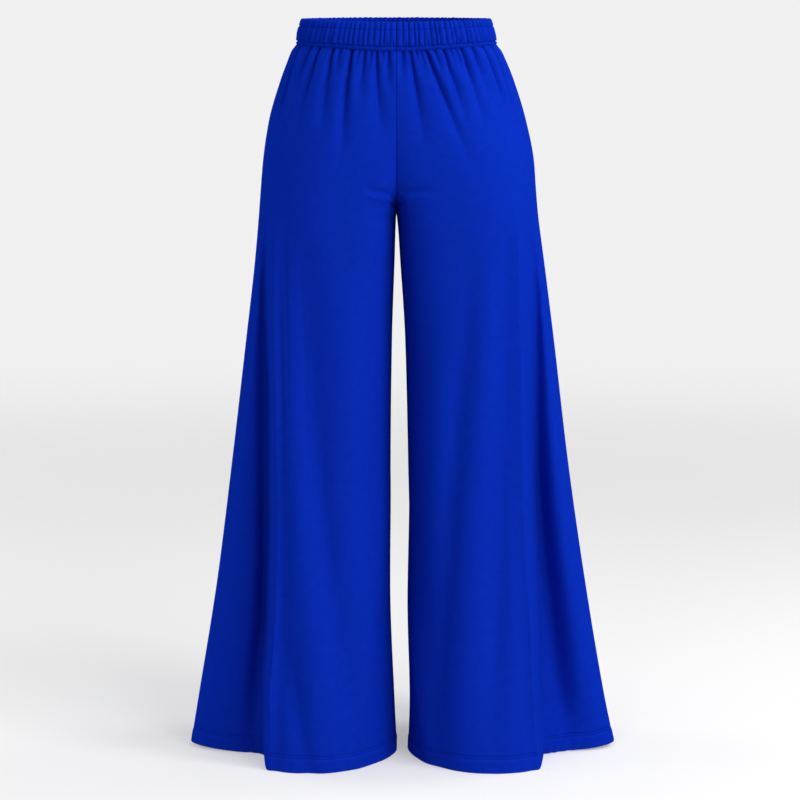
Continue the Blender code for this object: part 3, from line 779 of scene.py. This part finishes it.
bandPlan = {  # drops of the rows: up the outside, down the inside and under the edge
    "outside": (Stretch(0.0351, 0.0356, 0.0010), Stretch(0.0290, 0.0350, 0.00055),
                Stretch(0.0112, 0.0285, 0.0010), Stretch(0.0088, 0.0108, 0.0005),
                Stretch(0.0016, 0.0082, 0.0009)),
    "inside": (Stretch(0.0030, 0.0335, 0.0030), Stretch(0.0352, 0.0353, 0.0010)),
    "underside": (0.75, 0.25),  # shares of the wall, at the seam
}
BandRow = namedtuple("BandRow", "drop stand")
bandStand = (  # how far the valleys between the ribs stand out from the waist's curve
    BandRow(0.0000, -.0030), BandRow(0.0016, -.0021), BandRow(0.0036, -.0016),
    BandRow(0.0088, -.0015), BandRow(0.0098, -.0018), BandRow(0.0108, -.0015),
    BandRow(0.0200, -.0012), BandRow(0.0290, -.0016), BandRow(0.0300, -.0017),
    BandRow(0.0305, -.0018), BandRow(0.0311, -.0014), BandRow(0.0328, -.0008),
    BandRow(0.0345, -.0011), BandRow(0.0352, -.0016), BandRow(0.0360, -.0017),
)


def ribWave(places, count, uneven, seed):
    draw = np.random.default_rng(seed)
    widths = 1.0 + uneven * draw.uniform(-1.0, 1.0, count)
    edges = np.concatenate([[0.0], np.cumsum(widths)]) / widths.sum()
    heights = 1.0 - band["ribLow"] * draw.random(count)
    index = np.clip(np.searchsorted(edges, places, side="right") - 1, 0, count - 1)
    part = np.clip((places - edges[index]) / (edges[index + 1] - edges[index]), 0.0, 1.0)
    return heights[index] * np.sin(np.pi * part) ** band["ribRound"], index, part


def bandRibs(side, drop, places):  # rise of the ribs along a line round the waistband half
    seed = band["seeds"][side]
    moved = places - band["lean"] * np.sin(2.0 * np.pi * places) * (drop / cut["bandDepth"] - 0.5)
    casing, index, part = ribWave(moved, band["ribs"][0], band["ribUneven"][0], seed + 1)
    strip, _, _ = ribWave(moved, band["ribs"][1], band["ribUneven"][1], seed + 2)
    draw = np.random.default_rng(seed + 3)
    forked = np.isin(index, draw.choice(band["ribs"][0], band["forks"], False))
    opened = band["forkDepth"] * ease((drop - band["forkDrop"]) / band["forkLength"])
    middle = casing - np.where(forked, opened * bell((part - 0.5) / band["forkWidth"]), 0.0)
    change = band["ribChange"]
    toMiddle, toStrip = [ease((drop - stitch + 0.5 * change) / change)
                         for stitch in band["stitchDrops"][:2]]
    upper, lower, stripRise = band["ribRise"]
    wave = upper * (1.0 - toMiddle) * casing + lower * toMiddle * (1.0 - toStrip) * middle
    wave = wave + stripRise * toStrip * strip
    for stitch, share in zip(band["stitchDrops"], band["pinch"]):
        wave = wave * (1.0 - share * bell((drop - stitch) / band["pinchWidth"]))
    return wave


def bandProfile():  # (drop, share of the wall inwards): up the outside, over the rim, down inside
    path = []
    for top, bottom, step in bandPlan["outside"]:
        path += [(float(drop), 0.0) for drop in np.arange(bottom, top, -step)]
    for turn in np.radians(np.linspace(0.0, 180.0, band["rimSteps"])):
        path.append((band["rimRound"] * (1.0 - math.sin(turn)), 0.5 * (1.0 - math.cos(turn))))
    for top, bottom, step in bandPlan["inside"]:
        path += [(float(drop), 1.0) for drop in np.arange(top, bottom, step)]
    return path + [(cut["bandDepth"], share) for share in bandPlan["underside"]]


def bandCurve(side, drop):
    front, back = [rowCurve(side, face, drop) for face in ("front", "back")]
    outer = front[-1, 0]
    front[:, 1] *= -1.0
    curve = np.concatenate([front[:-1], back[::-1][1:]])
    return curve, runLengths(curve), outer


def bandLine(side, drop, share, places):
    curve, lengths, outer = bandCurve(side, drop)
    at = places * lengths[-1]
    normals = -curveNormals(curve, lengths, at, cut["normalReach"])
    normals[0], normals[-1] = (0.0, -1.0), (0.0, 1.0)
    ribs = bandRibs(side, drop, places)
    outside = readColumn(bandStand, "stand", drop) + ribs
    inside = -band["wall"] - band["insideRise"] * ribs
    radius = band["endRound"]
    turned = np.clip(radius - np.minimum(at, lengths[-1] - at), 0.0, radius)
    roll = radius - np.sqrt(radius ** 2 - turned ** 2)
    raised = (outside - roll) * (1.0 - share) + inside * share
    points = readCurve(curve, lengths, at) + normals * raised[:, None]
    lifts = np.where(points[:, 1] < 0.0, lift("front", drop, points[:, 0], outer),
                     lift("back", drop, points[:, 0], outer))
    if drop < band["rimRound"]:
        lifts = lifts + band["rimLift"] * ribs
    mirror = 1.0 if side == "left" else -1.0
    heights = cut["rimHeight"] - drop + lifts
    return np.stack([mirror * points[:, 0], points[:, 1], heights], axis=1), at


def buildBand(side):
    places = np.linspace(0.0, 1.0, band["columns"] + 1)
    lines, weaves, run = [], [], 0.0
    path = bandProfile()
    for number, (drop, share) in enumerate(path):
        line, at = bandLine(side, drop, share, places)
        if number:
            last = path[number - 1]
            run += math.hypot(drop - last[0], (share - last[1]) * band["wall"])
        lines.append(line)
        weaves.append(np.stack([at, np.full(len(at), run)], axis=1))
    points = np.array(lines)
    rows, columns = points.shape[:2]
    numbers = np.arange(rows * columns).reshape(rows, columns)
    wrapped = np.concatenate([numbers, numbers[:1]])
    faces = np.stack([wrapped[:-1, :-1], wrapped[:-1, 1:],
                      wrapped[1:, 1:], wrapped[1:, :-1]], axis=-1).reshape(-1, 4)
    if side == "left":
        faces = faces[:, ::-1]
    piece = quadObject("waistband_" + side + "_knit", points.reshape(-1, 3), faces,
                       np.array(weaves).reshape(-1, 2))
    closeEnds(piece)
    return piece


def closeEnds(piece):  # at the centre front and the centre back
    made = bmesh.new()
    made.from_mesh(piece.data)
    openEdges = [edge for edge in made.edges if len(edge.link_faces) == 1]
    bmesh.ops.holes_fill(made, edges=openEdges, sides=0)
    made.faces.ensure_lookup_table()
    bmesh.ops.recalc_face_normals(made, faces=made.faces)
    made.to_mesh(piece.data)
    made.free()


# Stitches, laid along lines on the cloth.
thread = {
    "length": 0.0031,
    "gap": 0.0007,
    "radius": 0.00021,
    "raised": 0.00006,
    "sides": 6,
    "rings": 4,
    "deep": (0.0008, 0.009, 0.17),
    "colour": (0.0014, 0.014, 0.26),
    "noiseScale": 900.0,
    "roughness": 0.55,
    "specular": 0.08,
}
stitchInputs = (("Stitch Length", "length"), ("Gap", "gap"), ("Radius", "radius"))


def stitchTree():
    tree = bpy.data.node_groups.new("stitchRow", "GeometryNodeTree")
    face = tree.interface
    face.new_socket("Line", in_out="INPUT", socket_type="NodeSocketGeometry")
    for name, key in stitchInputs:
        socket = face.new_socket(name, in_out="INPUT", socket_type="NodeSocketFloat")
        socket.default_value = thread[key]
    face.new_socket("Thread", in_out="INPUT", socket_type="NodeSocketMaterial")
    face.new_socket("Stitches", in_out="OUTPUT", socket_type="NodeSocketGeometry")
    given = addNode(tree, "NodeGroupInput").outputs
    pitch = addNode(tree, "ShaderNodeMath", {0: given["Stitch Length"], 1: given["Gap"]})
    curve = addNode(tree, "GeometryNodeMeshToCurve", {"Mesh": given["Line"]})
    spots = addNode(tree, "GeometryNodeCurveToPoints",
                    {"Curve": curve.outputs["Curve"], "Length": pitch.outputs[0]}, mode="LENGTH")
    turn = addNode(tree, "FunctionNodeAlignRotationToVector",
                   {"Vector": spots.outputs["Tangent"]}, axis="Z")
    ball = addNode(tree, "GeometryNodeMeshUVSphere",
                   {"Segments": thread["sides"], "Rings": thread["rings"], "Radius": 1.0})
    half = addNode(tree, "ShaderNodeMath", {0: given["Stitch Length"], 1: 0.5},
                   operation="MULTIPLY")
    size = addNode(tree, "ShaderNodeCombineXYZ",
                   {"X": given["Radius"], "Y": given["Radius"], "Z": half.outputs[0]})
    placed = addNode(tree, "GeometryNodeInstanceOnPoints",
                     {"Points": spots.outputs["Points"], "Instance": ball.outputs["Mesh"],
                      "Rotation": turn.outputs["Rotation"], "Scale": size.outputs["Vector"]})
    real = addNode(tree, "GeometryNodeRealizeInstances",
                   {"Geometry": placed.outputs["Instances"]})
    painted = addNode(tree, "GeometryNodeSetMaterial",
                      {"Geometry": real.outputs["Geometry"], "Material": given["Thread"]})
    addNode(tree, "NodeGroupOutput", {"Stitches": painted.outputs["Geometry"]})
    return tree


def stitchPiece(name, lines, tree, material):
    points, edges = [], []
    for line in lines:
        edges += [(len(points) + step, len(points) + step + 1) for step in range(len(line) - 1)]
        points += [tuple(point) for point in line]
    mesh = bpy.data.meshes.new(name + "_line")
    mesh.from_pydata(points, edges, [])
    guide = linkObject(name + "_line", mesh)
    nodes = guide.modifiers.new("stitches", "NODES")
    nodes.node_group = tree
    keys = {item.name: item.identifier for item in tree.interface.items_tree
            if item.item_type == "SOCKET" and item.in_out == "INPUT"}
    for socket, key in stitchInputs:
        nodes[keys[socket]] = thread[key]
    nodes[keys["Thread"]] = material
    bpy.context.view_layer.update()
    graph = bpy.context.evaluated_depsgraph_get()
    stitched = bpy.data.meshes.new_from_object(guide.evaluated_get(graph), depsgraph=graph)
    stitched.name = name
    guide.modifiers.clear()
    bpy.data.objects.remove(guide)
    stitched.shade_smooth()
    return linkObject(name, stitched)


def hemLines(side, face):
    lines = []
    edge = len(shell["allowance"]) + 2  # the stitches end this many points before the seams
    for row in hem["stitchRows"]:
        drop = cut["hemDrop"] - row
        flat, across, outer, _ = clothRow(side, face, drop)
        lifts = lift(face, drop, flat[:, 0], outer)
        line = placePoints(side, face, drop, flat + thread["raised"] * across, lifts)
        lines.append(line[edge:-edge])
    return lines


def bandLines(side):
    lines = []
    places = np.linspace(*band["stitchEnds"], band["stitchSteps"])
    for drop in band["stitchDrops"]:
        line, _ = bandLine(side, drop, 0.0, places)
        outward = unit(np.stack([line[:, 0], line[:, 1], np.zeros(len(line))], axis=1))
        lines.append(line + thread["raised"] * outward)
    return lines


# The knit: a royal blue of one shade, with a fine grain.
knit = {
    "colour": (0.0030, 0.0255, 0.430),
    "deep": (0.0020, 0.0200, 0.370),
    "blend": (0.36, 0.64),  # of the deep shade and the colour, by the grain and the mottle
    "grainShare": 0.65,
    "mottleShare": 0.35,
    "roughness": 0.56,
    "roughnessSpread": 0.05,
    "sheen": 0.05,
    "sheenRoughness": 0.40,
    "sheenTint": (0.01, 0.10, 1.0),
    "specular": 0.0,
    "specularTint": (0.05, 0.15, 1.0),
    "wale": 0.0011,
    "course": 0.0009,
    "loopSlant": 1.3,
    "loopShare": 0.6,
    "grainSize": 0.0016,
    "grainDetail": 2.0,
    "mottleSize": 0.012,
    "mottleDetail": 3.0,
    "bumpStrength": 0.8,
    "loopBump": 0.00012,
    "grainBump": 0.00010,
}
knitInputs = (("Wale", "wale"), ("Course", "course"), ("Grain Size", "grainSize"),
              ("Mottle Size", "mottleSize"))


def knitGroup():
    tree = bpy.data.node_groups.new("knitGrain", "ShaderNodeTree")
    face = tree.interface
    face.new_socket("Place", in_out="INPUT", socket_type="NodeSocketVector")
    for name, key in knitInputs:
        socket = face.new_socket(name, in_out="INPUT", socket_type="NodeSocketFloat")
        socket.default_value = knit[key]
    for name in ("Loops", "Grain", "Mottle"):
        face.new_socket(name, in_out="OUTPUT", socket_type="NodeSocketFloat")
    given = addNode(tree, "NodeGroupInput").outputs

    def maths(operation, *values):
        values = dict(enumerate(values))
        return addNode(tree, "ShaderNodeMath", values, operation=operation).outputs[0]

    place = addNode(tree, "ShaderNodeSeparateXYZ", {0: given["Place"]}).outputs
    across = maths("FRACT", maths("DIVIDE", place["X"], given["Wale"]))
    side = maths("ABSOLUTE", maths("SUBTRACT", across, 0.5))
    along = maths("DIVIDE", place["Y"], given["Course"])
    slanted = maths("ADD", along, maths("MULTIPLY", side, knit["loopSlant"]))
    legs = maths("SINE", maths("MULTIPLY", side, 2.0 * math.pi))
    turns = maths("SINE", maths("MULTIPLY", slanted, 2.0 * math.pi))
    wave = maths("MULTIPLY_ADD", turns, 0.5, 0.5)
    raised = maths("MULTIPLY_ADD", wave, knit["loopShare"], 1.0 - knit["loopShare"])
    results = {"Loops": maths("MULTIPLY", legs, raised)}
    for name, size, detail in (("Grain", "Grain Size", knit["grainDetail"]),
                               ("Mottle", "Mottle Size", knit["mottleDetail"])):
        noise = addNode(tree, "ShaderNodeTexNoise",
                        {"Vector": given["Place"], "Scale": maths("DIVIDE", 1.0, given[size]),
                         "Detail": detail})
        results[name] = noise.outputs["Fac"]
    addNode(tree, "NodeGroupOutput", results)
    return tree


def newMaterial(name):
    material = bpy.data.materials.new(name)
    material.use_nodes = True
    return material, material.node_tree, material.node_tree.nodes["Principled BSDF"]


def addRamp(tree, value, deep, colour, ends=(0.0, 1.0)):
    ramp = addNode(tree, "ShaderNodeValToRGB", {"Fac": value})
    for element, shade, place in zip(ramp.color_ramp.elements, (deep, colour), ends):
        element.position = place
        element.color = (*shade, 1.0)
    return ramp.outputs["Color"]


def addBump(tree, distance, height, under=None):
    inputs = {"Strength": knit["bumpStrength"], "Distance": distance, "Height": height}
    if under:
        inputs["Normal"] = under
    return addNode(tree, "ShaderNodeBump", inputs).outputs["Normal"]


def knitMaterial(name, group):
    material, tree, shader = newMaterial(name)
    place = addNode(tree, "ShaderNodeUVMap", uv_map="weave")
    inputs = {socket: knit[key] for socket, key in knitInputs}
    inputs["Place"] = place.outputs["UV"]
    grain = addNode(tree, "ShaderNodeGroup", inputs, node_tree=group).outputs
    mottle = addNode(tree, "ShaderNodeMath", {0: grain["Mottle"], 1: knit["mottleShare"]},
                     operation="MULTIPLY")
    blend = addNode(tree, "ShaderNodeMath",
                    {0: grain["Grain"], 1: knit["grainShare"], 2: mottle.outputs[0]},
                    operation="MULTIPLY_ADD")
    rough = addNode(tree, "ShaderNodeMapRange",
                    {"Value": grain["Mottle"],
                     "To Min": knit["roughness"] - knit["roughnessSpread"],
                     "To Max": knit["roughness"] + knit["roughnessSpread"]})
    loops = addBump(tree, knit["loopBump"], grain["Loops"])
    fuzz = addBump(tree, knit["grainBump"], grain["Grain"], loops)
    feed(tree, shader, {
        "Base Color": addRamp(tree, blend.outputs[0], knit["deep"], knit["colour"], knit["blend"]),
        "Roughness": rough.outputs["Result"],
        "Normal": fuzz,
        "Specular IOR Level": knit["specular"],
        "Specular Tint": (*knit["specularTint"], 1.0),
        "Sheen Weight": knit["sheen"],
        "Sheen Roughness": knit["sheenRoughness"],
        "Sheen Tint": (*knit["sheenTint"], 1.0),
    })
    return material


def threadMaterial(name):
    material, tree, shader = newMaterial(name)
    place = addNode(tree, "ShaderNodeTexCoord")
    noise = addNode(tree, "ShaderNodeTexNoise",
                    {"Vector": place.outputs["Object"], "Scale": thread["noiseScale"]})
    colour = addRamp(tree, noise.outputs["Fac"], thread["deep"], thread["colour"])
    feed(tree, shader, {
        "Base Color": colour,
        "Roughness": thread["roughness"],
        "Specular IOR Level": thread["specular"],
        "Specular Tint": (*knit["specularTint"], 1.0),
    })
    return material


# The pale floor, the white backdrop, the lights and the camera.
stage = {
    "floorColour": (0.80, 0.80, 0.80),
    "floorClear": 0.30,  # how far the white backdrop shows through the floor
    "floorGlow": 0.15,
    "floorGap": 0.0004,
    "floorSides": 64,
    "floorSpare": 1.02,
    "fadeStart": 0.9,
    "fadeEnd": 4.5,
    "backdrop": 0.872,
    "ambient": 0.12,
}
lights = {  # name: (place, aim, size, watts)
    "keyLight": ((2.3, -1.3, 1.5), (0.0, 0.0, -0.2), 1.0, 42.0),
    "broadKey": ((2.2, -3.2, 1.6), (0.0, 0.0, -0.4), 3.0, 98.0),
    "frontLight": ((-1.3, -3.5, 1.5), (0.0, 0.0, -0.4), 1.4, 24.0),
    "leftSide": ((-3.2, -0.7, 0.3), (0.0, 0.0, -0.5), 1.6, 16.0),
    "topLight": ((0.2, 0.1, 2.4), (0.0, 0.0, -1.0), 2.4, 27.0),
    "rightRim": ((2.4, 0.8, 1.2), (0.0, 0.0, -0.1), 1.4, 26.0),
    "leftRim": ((-2.6, 1.2, 0.3), (0.0, 0.0, -0.5), 1.6, 24.0),
}
view = {"place": (0.005, -4.0, 0.1065), "tilt": 9.02, "lens": 125.87, "sensor": 36.0}


def floorMaterial():
    material = bpy.data.materials.new("paleFloor")
    material.use_nodes = True
    tree = material.node_tree
    tree.nodes.clear()
    place = addNode(tree, "ShaderNodeTexCoord")
    far = addNode(tree, "ShaderNodeVectorMath", {0: place.outputs["Object"]}, operation="LENGTH")
    fade = addNode(tree, "ShaderNodeMapRange",
                   {"Value": far.outputs["Value"], "To Min": stage["floorClear"],
                    "From Min": stage["fadeStart"], "From Max": stage["fadeEnd"]},
                   interpolation_type="SMOOTHERSTEP")
    pale = addNode(tree, "ShaderNodeBsdfDiffuse", {"Color": (*stage["floorColour"], 1.0)})
    glow = addNode(tree, "ShaderNodeEmission", {"Strength": stage["floorGlow"]})
    lit = addNode(tree, "ShaderNodeAddShader", {0: pale.outputs[0], 1: glow.outputs[0]})
    clear = addNode(tree, "ShaderNodeBsdfTransparent")
    mix = addNode(tree, "ShaderNodeMixShader",
                  {"Fac": fade.outputs["Result"], 1: lit.outputs[0], 2: clear.outputs[0]})
    addNode(tree, "ShaderNodeOutputMaterial", {"Surface": mix.outputs[0]})
    return material


def buildFloor():
    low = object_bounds()[0][2]
    level = low - stage["floorGap"]
    radius = stage["fadeEnd"] * stage["floorSpare"]
    turns = np.linspace(0.0, 2.0 * np.pi, stage["floorSides"], endpoint=False)
    ring = [(radius * math.cos(turn), radius * math.sin(turn), level) for turn in turns]
    mesh = bpy.data.meshes.new("floor")
    mesh.from_pydata(ring, [], [tuple(range(len(ring)))])
    mesh.materials.append(floorMaterial())
    floor = linkObject("floor", mesh)


def buildBackdrop():  # the camera sees it bright, and it lights the cloth only a little
    world = bpy.data.worlds.new("softWhite")
    bpy.context.scene.world = world
    world.use_nodes = True
    tree = world.node_tree
    seen = addNode(tree, "ShaderNodeLightPath")
    level = addNode(tree, "ShaderNodeMapRange",
                    {"Value": seen.outputs["Is Camera Ray"],
                     "To Min": stage["ambient"], "To Max": stage["backdrop"]})
    feed(tree, tree.nodes["Background"],
         {"Strength": level.outputs["Result"], "Color": (1.0, 1.0, 1.0, 1.0)})


def buildStage():
    buildFloor()
    buildBackdrop()
    for name, (place, aim, size, watts) in lights.items():
        light = bpy.data.lights.new(name, "AREA")
        light.shape = "DISK"
        light.size = size
        light.energy = watts
        holder = linkObject(name, light)
        holder.location = place
        aimed = [aim[axis] - place[axis] for axis in range(3)]
        holder.rotation_euler = Vector(aimed).to_track_quat("-Z", "Y").to_euler()
    camera = bpy.data.cameras.new("camera")
    camera.lens = view["lens"]
    camera.sensor_width = view["sensor"]
    eye = linkObject("camera", camera)
    eye.location = view["place"]
    eye.rotation_euler = (math.radians(90.0 - view["tilt"]), 0.0, 0.0)
    bpy.context.scene.camera = eye
    bpy.context.scene.view_settings.view_transform = "Standard"


def makePanel(side, face, cloth, sewing, tree):
    panel = face + "_" + side
    outers, inners, weaves = panelRows(side, face)
    mirrored = (side == "right") != (face == "back")
    piece = shellMesh(panel + "_knit", outers, inners, weaves, mirrored)
    piece.data.materials.append(cloth)
    stitches = stitchPiece(panel + "_hem_stitches", hemLines(side, face), tree, sewing)
    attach(piece, "root")
    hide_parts(panel + "_panel")
    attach(stitches, "root")
    print("made", panel, len(piece.data.polygons), "faces")


def makeWaistband(side, cloth, sewing, tree):
    piece = buildBand(side)
    piece.data.materials.append(cloth)
    stitches = stitchPiece("waistband_" + side + "_stitches", bandLines(side), tree, sewing)
    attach(piece, "root")
    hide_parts("waistband_" + side)
    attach(stitches, "root")
    print("made waistband", side, len(piece.data.polygons), "faces")


def main():
    shell["closes"] = {side: closingDrop(side) for side in ("left", "right")}
    group = knitGroup()
    legKnit = knitMaterial("legKnit", group)
    bandKnit = knitMaterial("bandKnit", group)
    sewing = threadMaterial("sewingThread")
    tree = stitchTree()
    for side in ("left", "right"):
        for face in ("front", "back"):
            makePanel(side, face, legKnit, sewing, tree)
        makeWaistband(side, bandKnit, sewing, tree)
    buildStage()


main()
print("made the pants, the stage and the lights")
